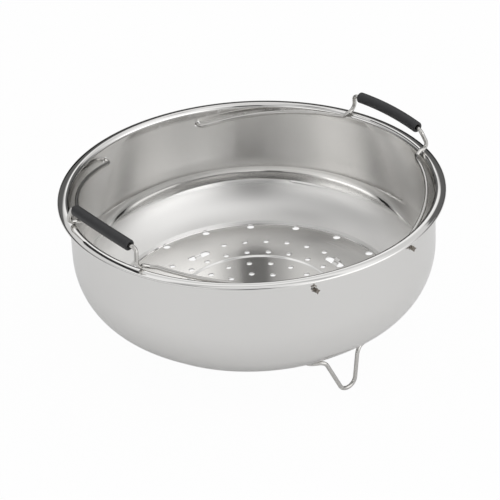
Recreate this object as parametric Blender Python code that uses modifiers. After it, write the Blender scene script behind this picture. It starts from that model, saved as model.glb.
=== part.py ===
# Stainless steamer basket: a drawn bowl with a punched floor, two folding bail handles
# with black sleeves, and a bent wire foot frame clipped under the floor.
# Metres, +Z up. The origin is on the table, under the middle of the bowl.
# The two handles lie along X; the two hinge lines run along Y.

import bpy
import bmesh
import math
from mathutils import Matrix, Vector

for old in list(bpy.data.objects):
    bpy.data.objects.remove(old, do_unlink=True)

MM = 0.001

# Bowl
SHEET = 0.8 * MM                 # thickness of the drawn sheet
RIM_DIAMETER = 240.0 * MM        # over the outer edge of the rim
RIM_WIDTH = 6.7 * MM             # outside of the straight wall to the outer edge of the rim
BOWL_DEPTH = 78.0 * MM           # crest of the rim down to the underside of the floor
WALL_DEPTH = 37.0 * MM           # crest of the rim down to where the wall starts to curve in
STAND_HEIGHT = 28.0 * MM         # table to the underside of the floor
RIM_FILLET = 2.4 * MM            # wall into rim crest
RIM_SLOPE = math.radians(26)     # slope of the rim where its lip starts
LIP_RADIUS = 1.1 * MM            # turned-down lip
FLOOR_INSET = 24.5 * MM          # outside of the wall to the edge of the flat floor
STEP_WIDTH = 1.9 * MM            # run of the step between floor and wall
STEP_RISE = 2.4 * MM             # height of that step
STEP_FILLET = 0.7 * MM
CURVE_POWER = 2.1                # 2 is an ellipse, more is squarer
CURVE_TURN_SHARE = 0.72          # share of the ellipse's quarter turn down to the step
DISC_DIAMETER = 97.0 * MM        # pressed disc in the middle of the floor
DISC_DROP = 0.7 * MM             # the disc lies this much lower
DISC_SLOPE_WIDTH = 1.6 * MM
BOWL_SEGMENTS = 60
LIP_STEPS = 2
SLOPE_STEPS = 2
FILLET_STEPS = 3
CURVE_STEPS = 9

# Punched holes
HOLE_PATTERN_TURN = math.radians(-1.25)   # the punch pattern against the handle line
SMALL_HOLE = 3.3 * MM            # diameter
SMALL_HOLE_RINGS = 5
HOLES_PER_RING_STEP = 6
BIG_HOLE = 4.4 * MM              # diameter
BIG_HOLE_INSET = 2.3 * MM        # edge of the floor to the ring of big holes
BIG_HOLE_STEPS = 6.5             # that ring lies this many steps of the small rings from the middle
BIG_HOLES = 18
BIG_HOLE_PHASE = math.radians(-5.2)
SMALL_HOLE_SIDES = 8
BIG_HOLE_SIDES = 10

# Slots and tabs that hold the foot frame
SLOT_LENGTH = 15.0 * MM
SLOT_WIDTH = 5.0 * MM
SLOT_STEPS = 4.5                 # steps of the small rings from the middle to the inner edge of a slot
SLOT_KEEP = 5.2 * MM             # no small hole nearer than this to the outline of a slot
TAB_WIDTH = 6.0 * MM
TAB_SHEET = 0.7 * MM             # drawn a little thinner than the floor
TAB_ROOT = 1.0 * MM              # held in the floor behind the slot
TAB_BEND = 1.0 * MM
TAB_WRAP = math.radians(105)     # how far the tab follows the wire
TAB_ANGLES = (math.radians(0), math.radians(90), math.radians(180))

# Foot frame
FOOT_WIRE = 2.6 * MM             # diameter
FOOT_INSET = 0.8 * MM            # edge of the floor to the plane of a foot
FOOT_RING_INSET = 2.1 * MM       # edge of the floor to the wire beside a foot
FOOT_ANGLES = (math.radians(45), math.radians(135), math.radians(270))
FOOT_BEND = 6.3 * MM             # bend at the bottom of a foot
FOOT_SLANT = math.radians(27)    # long leg from the upright
FOOT_LEAN = math.radians(7.5)    # short leg from the upright
FOOT_SHIFT = 1.4 * MM            # bottom of the foot from its own angle
FOOT_RUN = 9.0 * MM              # run along the ring beside each leg
FRAME_BEND = 5.0 * MM            # other bends of the frame
CLIP_RUN = 18.0 * MM             # straight run under a tab

# Handles
HANDLE_WIRE = 2.6 * MM           # diameter
ARM_INSET = 5.3 * MM             # outside of the wall to the middle of an arm
HINGE_OFFSET = 36.9 * MM         # middle of the bowl to a hinge line
HINGE_DROP = 10.2 * MM           # hinge line below the crest of the rim
HINGE_HOLE = 3.8 * MM            # diameter of the hole in the wall
END_STANDOFF = 1.2 * MM          # wall to the crimped end
END_LENGTH = 2.4 * MM            # crimped end
END_SPREAD = 4.6 * MM            # across the four points of the crimped end
END_WAIST = 1.8 * MM             # across it between the points
END_BEND = 3.4 * MM
POST_ANGLE = math.radians(18.1)  # where a post crosses the rim, seen from the middle
POST_INSET = 0.8 * MM            # outer edge of the rim to the outer bend of a post
POST_TOP_ANGLE = math.radians(16.6)
POST_BEND = 2.6 * MM
ARM_RISE = 2.0 * MM              # extra climb of an arm over its last stretch before the rim
ARM_RISE_ANGLE = math.radians(14)
GRIP_INSET = 4.7 * MM            # outer bend of a post to the end of a grip, towards the middle
GRIP_HEIGHT = 13.5 * MM          # end of a grip above the crest of the rim
GRIP_HALF_ANGLE = math.radians(14.3)
GRIP_BOW = 1.2 * MM              # the middle of a grip lies this much further out than its ends
GRIP_CROWN = 1.0 * MM            # and this much higher
GRIP_DIAMETER = 7.0 * MM
GRIP_EDGE = 0.9 * MM             # rounding at the ends of a grip

# Fits
CLEARANCE = 0.3 * MM             # between pieces that touch
OVERRUN = 2.0 * MM               # cutters pass the faces that they cut by this much
MERGE = 0.01 * MM
ARC_STEP = math.radians(20)      # turn between points of a bent wire
ARM_STEP = math.radians(7)
GRIP_STEPS = 8
WIRE_SIDES_RESOLUTION = 2        # a bevel resolution of 2 gives 8 sides
GRIP_SIDES_RESOLUTION = 4
STAR_SIDES = 8                   # corners of a crimped end, points and waists together

# Sizes that follow from the ones above
RIM_HEIGHT = STAND_HEIGHT + BOWL_DEPTH
WALL_DIAMETER = RIM_DIAMETER - 2 * RIM_WIDTH
FLOOR_DIAMETER = WALL_DIAMETER - 2 * FLOOR_INSET
FLOOR_MIDDLE = STAND_HEIGHT + SHEET / 2
WALL_MIDDLE = WALL_DIAMETER / 2 - SHEET / 2
HINGE_HEIGHT = RIM_HEIGHT - HINGE_DROP
FRAME_HEIGHT = STAND_HEIGHT - CLEARANCE - FOOT_WIRE / 2
BIG_HOLE_RING = FLOOR_DIAMETER - 2 * BIG_HOLE_INSET
SMALL_HOLE_PITCH = BIG_HOLE_RING / 2 / BIG_HOLE_STEPS
SLOT_INSIDE = SLOT_STEPS * SMALL_HOLE_PITCH
CLIP_RADIUS = SLOT_INSIDE - CLEARANCE
FOOT_REACH = FLOOR_DIAMETER / 2 - FOOT_INSET
FOOT_RING = FLOOR_DIAMETER - 2 * FOOT_RING_INSET
ARM_RADIUS = WALL_DIAMETER / 2 - ARM_INSET
POST_REACH = RIM_DIAMETER / 2 - POST_INSET
GRIP_REACH = POST_REACH - GRIP_INSET


def collection(name):
    made = bpy.data.collections.new(name)
    bpy.context.scene.collection.children.link(made)
    return made


PARTS = collection("steamer_basket")
CUTTERS = collection("cutters")


def material(name, colour, roughness, metallic):
    made = bpy.data.materials.new(name)
    made.use_nodes = True
    shader = made.node_tree.nodes["Principled BSDF"]
    shader.inputs["Base Color"].default_value = (*colour, 1.0)
    shader.inputs["Roughness"].default_value = roughness
    shader.inputs["Metallic"].default_value = metallic
    return made


STEEL = material("polished_steel", (0.76, 0.76, 0.75), 0.12, 1.0)
WIRE_STEEL = material("bright_wire", (0.80, 0.79, 0.77), 0.10, 1.0)
SLEEVE = material("black_sleeve", (0.030, 0.030, 0.033), 0.55, 0.0)


def add_object(name, data, group, finish=None):
    made = bpy.data.objects.new(name, data)
    group.objects.link(made)
    if finish is not None:
        data.materials.append(finish)
    if group is CUTTERS:
        made.display_type = 'WIRE'
        made.hide_render = True
    return made


def mesh_object(name, form, group, finish=None):
    data = bpy.data.meshes.new(name)
    form.to_mesh(data)
    form.free()
    return add_object(name, data, group, finish)


def at_angle(radius, angle, height):
    return Vector((radius * math.cos(angle), radius * math.sin(angle), height))


def arc_points(centre_x, centre_z, radius, start, end, steps):
    """Points of an arc in the plane of a profile, as pairs of radius and height."""
    points = []
    for i in range(steps + 1):
        angle = start + (end - start) * i / steps
        points.append((centre_x + radius * math.cos(angle), centre_z + radius * math.sin(angle)))
    return points


def rounded_path(corners, closed=False):
    """A bent wire: straight runs between corners, each corner an arc of its own radius."""
    points = []
    count = len(corners)
    for i, (corner, radius) in enumerate(corners):
        if not closed and i in (0, count - 1):
            points.append(corner.copy())
            continue
        before = (corners[i - 1][0] - corner).normalized()
        after = (corners[(i + 1) % count][0] - corner).normalized()
        half = before.angle(after) / 2
        turn = math.pi - 2 * half
        steps = max(1, round(turn / ARC_STEP))
        if radius == 0 or steps == 1:
            points.append(corner.copy())
            continue
        centre = corner + (before + after).normalized() * (radius / math.sin(half))
        start = corner + before * (radius / math.tan(half)) - centre
        axis = after.cross(before).normalized()
        for k in range(steps + 1):
            points.append(centre + Matrix.Rotation(turn * k / steps, 3, axis) @ start)
    return points


def wire_curve(name, points, diameter, group, closed=False, resolution=WIRE_SIDES_RESOLUTION):
    data = bpy.data.curves.new(name, 'CURVE')
    data.dimensions = '3D'
    data.bevel_depth = diameter / 2
    data.bevel_resolution = resolution
    data.use_fill_caps = True
    spline = data.splines.new('POLY')
    spline.points.add(len(points) - 1)
    for place, point in zip(spline.points, points):
        place.co = (*point, 1.0)
    spline.use_cyclic_u = closed
    return add_object(name, data, group)


def curve_to_mesh(curve, name, group, finish=None):
    """A mesh of the curve with its caps joined on, in the curve's own place."""
    bpy.context.view_layer.update()
    shape = curve.evaluated_get(bpy.context.evaluated_depsgraph_get())
    data = bpy.data.meshes.new_from_object(shape)
    data.name = name
    form = bmesh.new()
    form.from_mesh(data)
    bmesh.ops.remove_doubles(form, verts=form.verts, dist=MERGE)
    bmesh.ops.recalc_face_normals(form, faces=form.faces)
    form.to_mesh(data)
    form.free()
    data.materials.clear()
    made = add_object(name, data, group, finish)
    made.matrix_world = curve.matrix_world.copy()
    bpy.data.objects.remove(curve, do_unlink=True)
    return made


def boolean(target, cutter, operation):
    cut = target.modifiers.new(cutter.name, 'BOOLEAN')
    cut.operation = operation
    cut.solver = 'EXACT'
    cut.object = cutter


def smooth(made, angle=math.radians(35)):
    made.data.shade_smooth()
    made.data.set_sharp_from_angle(angle=angle)


# Bowl profile

def rim_profile():
    """Middle of the sheet from the tip of the lip, over the crest, to the top of the wall."""
    crest_height = RIM_HEIGHT - SHEET / 2
    lip_tip = RIM_DIAMETER / 2 - SHEET / 2
    crest = WALL_MIDDLE + RIM_FILLET
    slope_radius = (lip_tip - LIP_RADIUS - crest) / math.sin(RIM_SLOPE) + LIP_RADIUS
    lip_centre_x = lip_tip - LIP_RADIUS
    lip_centre_z = crest_height - slope_radius + math.cos(RIM_SLOPE) * (slope_radius - LIP_RADIUS)
    quarter = math.pi / 2
    lip = arc_points(lip_centre_x, lip_centre_z, LIP_RADIUS, 0, quarter - RIM_SLOPE, LIP_STEPS)
    slope = arc_points(crest, crest_height - slope_radius, slope_radius, quarter - RIM_SLOPE, quarter,
                       SLOPE_STEPS)
    fillet = arc_points(crest, crest_height - RIM_FILLET, RIM_FILLET, quarter, 2 * quarter, FILLET_STEPS)
    return lip + slope[1:] + fillet[1:]


def wall_profile():
    """The lower wall: a squared ellipse from the straight wall in to the step of the floor."""
    top = RIM_HEIGHT - WALL_DEPTH
    inner_end = FLOOR_DIAMETER / 2 + STEP_WIDTH
    end_height = FLOOR_MIDDLE + STEP_RISE
    last = CURVE_TURN_SHARE * math.pi / 2
    across = math.cos(last) ** (2 / CURVE_POWER)
    down = math.sin(last) ** (2 / CURVE_POWER)
    centre = (inner_end - WALL_MIDDLE * across) / (1 - across)
    depth = (top - end_height) / down
    points = []
    for i in range(CURVE_STEPS + 1):
        angle = last * i / CURVE_STEPS
        points.append((centre + (WALL_MIDDLE - centre) * math.cos(angle) ** (2 / CURVE_POWER),
                       top - depth * math.sin(angle) ** (2 / CURVE_POWER)))
    return points


def floor_profile():
    """From the foot of the step across the floor, down into the disc, to the middle."""
    disc = DISC_DIAMETER / 2
    drop = FLOOR_MIDDLE - DISC_DROP
    return [(FLOOR_DIAMETER / 2 + STEP_FILLET / 2, FLOOR_MIDDLE + STEP_FILLET / 2),
            (FLOOR_DIAMETER / 2 - STEP_FILLET / 2, FLOOR_MIDDLE),
            (disc + DISC_SLOPE_WIDTH / 2, FLOOR_MIDDLE),
            (disc - DISC_SLOPE_WIDTH / 2, drop),
            (0.0, drop)]


def bowl_shell():
    form = bmesh.new()
    line = rim_profile() + wall_profile() + floor_profile()
    verts = [form.verts.new((radius, 0.0, height)) for radius, height in line]
    for first, second in zip(verts, verts[1:]):
        form.edges.new((first, second))
    made = mesh_object("basket_bowl", form, PARTS, STEEL)
    turn = made.modifiers.new("turned", 'SCREW')
    turn.axis = 'Z'
    turn.angle = 2 * math.pi
    turn.steps = BOWL_SEGMENTS
    turn.render_steps = BOWL_SEGMENTS
    turn.use_merge_vertices = True
    turn.merge_threshold = MERGE
    turn.use_smooth_shade = True
    wall = made.modifiers.new("sheet", 'SOLIDIFY')
    wall.thickness = SHEET
    wall.offset = 0
    wall.use_even_offset = True
    return made


# Holes, slots and tabs of the bowl

def near_slot(place):
    """True where a small hole would run into a slot or its tab."""
    for angle in TAB_ANGLES:
        local = Matrix.Rotation(-angle - HOLE_PATTERN_TURN, 3, 'Z') @ place
        along = max(0.0, abs(local.y) - SLOT_LENGTH / 2)
        across = abs(local.x - SLOT_INSIDE - SLOT_WIDTH / 2) - SLOT_WIDTH / 2
        if local.x > 0 and math.hypot(along, max(0.0, across)) < SLOT_KEEP:
            return True
    return False


def add_punch(form, place, diameter, sides, height):
    bmesh.ops.create_cone(form, cap_ends=True, segments=sides, radius1=diameter / 2, radius2=diameter / 2,
                          depth=height, matrix=Matrix.Translation(place))


def small_hole_places():
    places = [Vector((0.0, 0.0, FLOOR_MIDDLE))]
    for ring in range(1, SMALL_HOLE_RINGS + 1):
        count = HOLES_PER_RING_STEP * ring
        for k in range(count):
            angle = HOLE_PATTERN_TURN + 2 * math.pi * k / count
            place = at_angle(ring * SMALL_HOLE_PITCH, angle, FLOOR_MIDDLE)
            if not near_slot(place):
                places.append(place)
    return places


def hole_cutter():
    form = bmesh.new()
    height = 2 * (SHEET + DISC_DROP + OVERRUN)
    for place in small_hole_places():
        add_punch(form, place, SMALL_HOLE, SMALL_HOLE_SIDES, height)
    for k in range(BIG_HOLES):
        angle = BIG_HOLE_PHASE + 2 * math.pi * k / BIG_HOLES
        add_punch(form, at_angle(BIG_HOLE_RING / 2, angle, FLOOR_MIDDLE), BIG_HOLE, BIG_HOLE_SIDES, height)
    for angle in TAB_ANGLES:
        add_slot(form, angle + HOLE_PATTERN_TURN, height)
    return mesh_object("floor_punch", form, CUTTERS)


def add_slot(form, angle, height):
    """An oblong prism whose long side lies across the given direction."""
    end_steps = 5
    end = SLOT_WIDTH / 2
    straight = SLOT_LENGTH / 2 - end
    outline = arc_points(0, straight, end, 0, math.pi, end_steps)
    outline += arc_points(0, -straight, end, math.pi, 2 * math.pi, end_steps)
    turn = Matrix.Rotation(angle, 4, 'Z') @ Matrix.Translation((SLOT_INSIDE + end, 0, FLOOR_MIDDLE - height / 2))
    verts = [form.verts.new(turn @ Vector((x, y, 0))) for x, y in outline]
    base = form.faces.new(verts)
    base.normal_flip()
    top = bmesh.ops.extrude_face_region(form, geom=[base])
    raised = [item for item in top['geom'] if isinstance(item, bmesh.types.BMVert)]
    bmesh.ops.translate(form, verts=raised, vec=(0, 0, height))
    bmesh.ops.recalc_face_normals(form, faces=form.faces)


def hinge_cutter():
    """Four round punches along Y, where the ends of the handles pass the wall."""
    form = bmesh.new()
    wall_place = math.sqrt(WALL_MIDDLE ** 2 - HINGE_OFFSET ** 2)
    length = 2 * (SHEET + OVERRUN)
    for side_x in (-1, 1):
        for side_y in (-1, 1):
            place = Matrix.Translation((side_x * HINGE_OFFSET, side_y * wall_place, HINGE_HEIGHT))
            bmesh.ops.create_cone(form, cap_ends=True, segments=BIG_HOLE_SIDES, radius1=HINGE_HOLE / 2,
                                  radius2=HINGE_HOLE / 2, depth=length,
                                  matrix=place @ Matrix.Rotation(math.pi / 2, 4, 'X'))
    return mesh_object("hinge_punch", form, CUTTERS)


def tab_line():
    """Middle of a tab, as pairs of distance from the bowl's middle and height: out of the
    floor behind the slot, bent down, and wrapped under the foot wire."""
    wrap = FOOT_WIRE / 2 + CLEARANCE + TAB_SHEET / 2
    outer = CLIP_RADIUS + wrap
    root = SLOT_INSIDE + SLOT_WIDTH + TAB_ROOT
    bend = arc_points(outer + TAB_BEND, FLOOR_MIDDLE - TAB_BEND, TAB_BEND, math.pi / 2, math.pi, 3)
    hook = arc_points(CLIP_RADIUS, FRAME_HEIGHT, wrap, 0, -TAB_WRAP, 5)
    return [(root, FLOOR_MIDDLE)] + bend + hook


def tab_strip(angle, index):
    form = bmesh.new()
    turn = Matrix.Rotation(angle, 4, 'Z')
    verts = [form.verts.new(turn @ Vector((x, -TAB_WIDTH / 2, z))) for x, z in tab_line()]
    edges = [form.edges.new(pair) for pair in zip(verts, verts[1:])]
    side = bmesh.ops.extrude_edge_only(form, edges=edges)
    moved = [item for item in side['geom'] if isinstance(item, bmesh.types.BMVert)]
    bmesh.ops.translate(form, verts=moved, vec=turn.to_3x3() @ Vector((0, TAB_WIDTH, 0)))
    bmesh.ops.recalc_face_normals(form, faces=form.faces)
    made = mesh_object(f"tab_{index + 1}", form, CUTTERS)
    wall = made.modifiers.new("sheet", 'SOLIDIFY')
    wall.thickness = TAB_SHEET
    wall.offset = 0
    wall.use_even_offset = True
    return made


def make_bowl():
    bowl = bowl_shell()
    boolean(bowl, hole_cutter(), 'DIFFERENCE')
    boolean(bowl, hinge_cutter(), 'DIFFERENCE')
    for index, angle in enumerate(TAB_ANGLES):
        boolean(bowl, tab_strip(angle + HOLE_PATTERN_TURN, index), 'UNION')
    return bowl


# Foot frame

def foot_corners(angle):
    """Corners of one foot, from its long leg to its short one, with the run on each side."""
    half = (FOOT_SLANT + FOOT_LEAN) / 2
    tilt = (FOOT_SLANT - FOOT_LEAN) / 2
    reach = FOOT_BEND / math.sin(half)
    middle_height = FOOT_WIRE / 2 + FOOT_BEND
    tip = (FOOT_SHIFT + reach * math.sin(tilt), middle_height - reach * math.cos(tilt))
    climb = FRAME_HEIGHT - tip[1]
    slanted_top = tip[0] - climb * math.tan(FOOT_SLANT)
    steep_top = tip[0] + climb * math.tan(FOOT_LEAN)

    def place(along, height):
        return Matrix.Rotation(angle, 3, 'Z') @ Vector((FOOT_REACH, along, height))

    def on_ring(along):
        return at_angle(FOOT_RING / 2, angle + math.atan2(along, FOOT_REACH), FRAME_HEIGHT)

    return [(on_ring(slanted_top - FOOT_RUN), FRAME_BEND),
            (place(slanted_top, FRAME_HEIGHT), FRAME_BEND / 2),
            (place(*tip), FOOT_BEND),
            (place(steep_top, FRAME_HEIGHT), FRAME_BEND / 2),
            (on_ring(steep_top + FOOT_RUN), FRAME_BEND)]


def clip_corners(angle):
    turn = Matrix.Rotation(angle, 3, 'Z')
    return [(turn @ Vector((CLIP_RADIUS, -CLIP_RUN / 2, FRAME_HEIGHT)), FRAME_BEND),
            (turn @ Vector((CLIP_RADIUS, CLIP_RUN / 2, FRAME_HEIGHT)), FRAME_BEND)]


def make_foot_frame():
    stations = [(angle, foot_corners(angle)) for angle in FOOT_ANGLES]
    stations += [(angle, clip_corners(angle + HOLE_PATTERN_TURN)) for angle in TAB_ANGLES]
    corners = []
    for _, station in sorted(stations, key=lambda item: item[0]):
        corners += station
    path = rounded_path(corners, closed=True)
    curve = wire_curve("foot_frame_path", path, FOOT_WIRE, CUTTERS, closed=True)
    frame = curve_to_mesh(curve, "foot_frame", PARTS, WIRE_STEEL)
    smooth(frame)
    return frame


# Handles, made on the +X side; the other one is turned half round the bowl

def arm_points():
    """One arm inside the wall, from beside the hinge to the foot of the post."""
    start = math.acos((HINGE_OFFSET + END_BEND) / ARM_RADIUS)
    end = POST_ANGLE + ARM_STEP / 2
    base_height = RIM_HEIGHT + CLEARANCE + HANDLE_WIRE / 2
    steps = round((start - end) / ARM_STEP)
    points = []
    for k in range(steps + 1):
        angle = start + (end - start) * k / steps
        reach = (math.cos(angle) * ARM_RADIUS - HINGE_OFFSET) / (math.cos(end) * ARM_RADIUS - HINGE_OFFSET)
        rise = max(0.0, 1 - (angle - end) / ARM_RISE_ANGLE) ** 2
        slope = base_height - ARM_RISE - HINGE_HEIGHT
        points.append(at_angle(ARM_RADIUS, angle, HINGE_HEIGHT + slope * reach + ARM_RISE * rise))
    return points


def grip_line(beyond):
    """Middle line of a grip, from its +Y end to its other one, each end drawn out by a length."""
    end = at_angle(GRIP_REACH, GRIP_HALF_ANGLE, RIM_HEIGHT + GRIP_HEIGHT)
    points = []
    for k in range(GRIP_STEPS + 1):
        along = (end.y + beyond) * (1 - 2 * k / GRIP_STEPS)
        swell = 1 - (along / end.y) ** 2
        points.append(Vector((end.x + GRIP_BOW * swell, along, end.z + GRIP_CROWN * swell)))
    return points


def handle_half():
    """Corners of half a handle, from its outer end to the middle of the grip."""
    base_height = RIM_HEIGHT + CLEARANCE + HANDLE_WIRE / 2
    wall_place = math.sqrt((WALL_DIAMETER / 2) ** 2 - HINGE_OFFSET ** 2)
    arm_place = math.sqrt(ARM_RADIUS ** 2 - (HINGE_OFFSET + END_BEND) ** 2)
    end_y = wall_place + END_STANDOFF + END_LENGTH / 2
    corners = [(Vector((HINGE_OFFSET, end_y, HINGE_HEIGHT)), 0),
               (Vector((HINGE_OFFSET, arm_place + END_BEND / 2, HINGE_HEIGHT)), END_BEND)]
    corners += [(point, 0) for point in arm_points()]
    corners += [(at_angle(ARM_RADIUS, POST_ANGLE, base_height), POST_BEND / 2),
                (at_angle(POST_REACH, POST_ANGLE, base_height), POST_BEND),
                (at_angle(GRIP_REACH, POST_TOP_ANGLE, RIM_HEIGHT + GRIP_HEIGHT), POST_BEND)]
    corners += [(point, 0) for point in grip_line(0)[:GRIP_STEPS // 2 + 1]]
    return corners


def handle_path():
    half = handle_half()
    other = [(Vector((point.x, -point.y, point.z)), radius) for point, radius in half[:-1]]
    return rounded_path(half + other[::-1])


def crimped_ends(name):
    """The ends of a handle, squeezed outside the wall to a star with four points."""
    form = bmesh.new()
    wall_place = math.sqrt((WALL_DIAMETER / 2) ** 2 - HINGE_OFFSET ** 2)
    middle = wall_place + END_STANDOFF + END_LENGTH / 2
    for side in (-1, 1):
        place = Matrix.Translation((HINGE_OFFSET, side * middle, HINGE_HEIGHT))
        star = bmesh.ops.create_cone(form, cap_ends=True, segments=STAR_SIDES, radius1=END_SPREAD / 2,
                                     radius2=END_SPREAD / 2, depth=END_LENGTH)
        for vert in star['verts']:
            corner = round(math.atan2(vert.co.y, vert.co.x) * STAR_SIDES / (2 * math.pi))
            if corner % 2:
                vert.co.xy = vert.co.xy * END_WAIST / END_SPREAD
        bmesh.ops.transform(form, verts=star['verts'], matrix=place @ Matrix.Rotation(math.pi / 2, 4, 'X'))
    return mesh_object(name, form, CUTTERS)


def make_hinge(side, angle):
    """An empty on the hinge line, which carries one handle and its grip."""
    hinge = bpy.data.objects.new(f"{side}_hinge", None)
    PARTS.objects.link(hinge)
    hinge.location = Matrix.Rotation(angle, 3, 'Z') @ Vector((HINGE_OFFSET, 0, HINGE_HEIGHT))
    hinge.rotation_euler = (0, 0, angle)
    return hinge


def to_hinge(made, hinge):
    """Puts the origin of a piece on the hinge line and hangs the piece on its empty."""
    made.data.transform(Matrix.Translation((-HINGE_OFFSET, 0, -HINGE_HEIGHT)))
    made.parent = hinge


def make_handle(side, angle):
    hinge = make_hinge(side, angle)
    curve = wire_curve(f"{side}_wire_path", handle_path(), HANDLE_WIRE, CUTTERS)
    wire = curve_to_mesh(curve, f"{side}_handle_wire", PARTS, WIRE_STEEL)
    stars = crimped_ends(f"{side}_crimped_ends")
    boolean(wire, stars, 'UNION')
    to_hinge(wire, hinge)
    to_hinge(stars, hinge)
    smooth(wire)

    sleeve_curve = wire_curve(f"{side}_sleeve_path", grip_line(0), GRIP_DIAMETER, CUTTERS,
                              resolution=GRIP_SIDES_RESOLUTION)
    grip = curve_to_mesh(sleeve_curve, f"{side}_grip", PARTS, SLEEVE)
    edge = grip.modifiers.new("soft_ends", 'BEVEL')
    edge.width = GRIP_EDGE
    edge.segments = 2
    edge.limit_method = 'ANGLE'
    edge.angle_limit = math.radians(60)
    bore_curve = wire_curve(f"{side}_bore_path", grip_line(OVERRUN), HANDLE_WIRE + 2 * CLEARANCE, CUTTERS)
    bore = curve_to_mesh(bore_curve, f"{side}_bore", CUTTERS)
    boolean(grip, bore, 'DIFFERENCE')
    to_hinge(grip, hinge)
    to_hinge(bore, hinge)
    smooth(grip)


make_bowl()
make_foot_frame()
make_handle("right", 0.0)
make_handle("left", math.pi)
bpy.context.view_layer.update()
for piece in PARTS.objects:
    if piece.type == 'MESH':
        shape = piece.evaluated_get(bpy.context.evaluated_depsgraph_get())
        print(piece.name, len(shape.to_mesh().loop_triangles), "triangles")
        shape.to_mesh_clear()
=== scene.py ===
# %% [markdown]
# A steamer basket, dressed on its packed model
#
# The packed model is the frame: it says where every piece sits. Its solids are coarse, though,
# and polished steel shows every facet, so each piece is drawn again here with a fine mesh, in
# the same place and at the same size, and then given its finish.

# %% Load the frame
import math

import bpy
from mathutils import Matrix, Vector


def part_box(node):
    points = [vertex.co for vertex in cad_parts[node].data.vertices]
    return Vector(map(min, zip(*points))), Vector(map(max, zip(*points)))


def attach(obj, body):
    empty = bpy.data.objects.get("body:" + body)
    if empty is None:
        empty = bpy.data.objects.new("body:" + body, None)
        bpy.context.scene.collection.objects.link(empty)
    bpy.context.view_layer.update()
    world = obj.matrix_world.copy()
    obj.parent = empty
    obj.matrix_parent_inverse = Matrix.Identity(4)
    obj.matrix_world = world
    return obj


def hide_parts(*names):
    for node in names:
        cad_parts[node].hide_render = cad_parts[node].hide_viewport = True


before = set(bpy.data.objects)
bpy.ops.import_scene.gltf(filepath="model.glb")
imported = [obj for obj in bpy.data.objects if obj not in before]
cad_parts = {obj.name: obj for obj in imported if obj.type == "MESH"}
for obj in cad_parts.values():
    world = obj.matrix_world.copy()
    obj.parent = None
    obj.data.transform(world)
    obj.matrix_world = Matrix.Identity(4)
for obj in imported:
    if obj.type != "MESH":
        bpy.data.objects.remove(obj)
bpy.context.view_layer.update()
MM = 0.001

# %% [markdown]
# The camera looks down into the bowl from the front, over the left handle. A short lens close
# by would swell the near rim, so this one is long and stands far off, as for a catalogue
# picture, and the rim keeps its even oval. It is turned a little about its own line of sight,
# which lifts the right side of the picture.

# %% Camera
PICTURE_WIDTH = 500
LENS_IN_PIXELS = 2632.8
SENSOR = 36.0
NEAR_CLIP = 0.05
VIEW_TURN = math.radians(-36.34)
VIEW_HEIGHT = math.radians(28.82)
VIEW_DISTANCE = 1.62525
VIEW_AIM = Vector((-2.66, 0.0, -44.72)) * MM
VIEW_ROLL = math.radians(-2.71)

rim_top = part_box("basket_bowl")[1][2]
rim_centre = Vector((0.0, 0.0, rim_top))
turned = Matrix.Rotation(VIEW_TURN, 3, 'Z')
eye = rim_centre + turned @ Vector((0.0, -math.cos(VIEW_HEIGHT), math.sin(VIEW_HEIGHT))) * VIEW_DISTANCE
aim = rim_centre + turned @ VIEW_AIM
bpy.ops.object.camera_add(location=eye)
camera = bpy.context.object
camera.data.sensor_width = SENSOR
camera.data.lens = LENS_IN_PIXELS / PICTURE_WIDTH * SENSOR
camera.data.clip_start = NEAR_CLIP
facing = (aim - eye).to_track_quat('-Z', 'Y').to_matrix() @ Matrix.Rotation(VIEW_ROLL, 3, 'Z')
camera.rotation_euler = facing.to_euler()
bpy.context.scene.camera = camera
print("camera at", [round(value, 3) for value in eye])

# %% [markdown]
# The bowl is drawn from one flat sheet, and its section says all about it: a narrow rim that
# slopes down to a rolled lip, a straight wall, a long curve inwards, a short steep step, and a
# flat floor with a shallow disc pressed in its middle. It could start as a cylinder that is
# pushed about, but then its folds would be sharp corners. In mirror steel the folds are what
# the eye reads, so the section comes first, as a line in which every fold is a real arc. The
# rim's part of the line runs from the lip over the slope and round into the wall.

# %% Rim line
SHEET = 0.8 * MM
RIM_WIDTH = 6.7 * MM
RIM_FILLET = 2.4 * MM
RIM_SLOPE = math.radians(26)
LIP_RADIUS = 1.1 * MM

right_angle = math.pi / 2
rim_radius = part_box("basket_bowl")[1][0]
wall_outside = rim_radius - RIM_WIDTH
wall_middle = wall_outside - SHEET / 2


def arc(centre_x, centre_z, radius, start, end, steps):
    """Points of a round stretch in the XZ plane, from one angle to another."""
    angles = [start + (end - start) * k / steps for k in range(steps + 1)]
    return [Vector((centre_x + radius * math.cos(a), 0.0, centre_z + radius * math.sin(a))) for a in angles]


def rim_section():
    crest = wall_middle + RIM_FILLET
    crest_height = rim_top - SHEET / 2
    lip_middle = rim_radius - SHEET / 2 - LIP_RADIUS
    slope_radius = (lip_middle - crest) / math.sin(RIM_SLOPE) + LIP_RADIUS
    lip_height = crest_height - slope_radius + math.cos(RIM_SLOPE) * (slope_radius - LIP_RADIUS)
    slope_end = right_angle - RIM_SLOPE
    lip = arc(lip_middle, lip_height, LIP_RADIUS, 0.0, slope_end, steps=8)
    slope = arc(crest, crest_height - slope_radius, slope_radius, slope_end, right_angle, steps=6)
    fillet = arc(crest, crest_height - RIM_FILLET, RIM_FILLET, right_angle, 2 * right_angle, steps=12)
    return lip + slope[1:] + fillet[1:]


rim = rim_section()
print("the rim is drawn with", len(rim), "points")

# %% [markdown]
# The wall runs straight down and then curves in to the step. A round arc would leave the
# straight too suddenly, which shows as a crease in the mirror image. A squared ellipse starts
# with hardly any curve and tightens towards its end, as the drawn sheet does, so the lower wall
# follows one.

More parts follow.
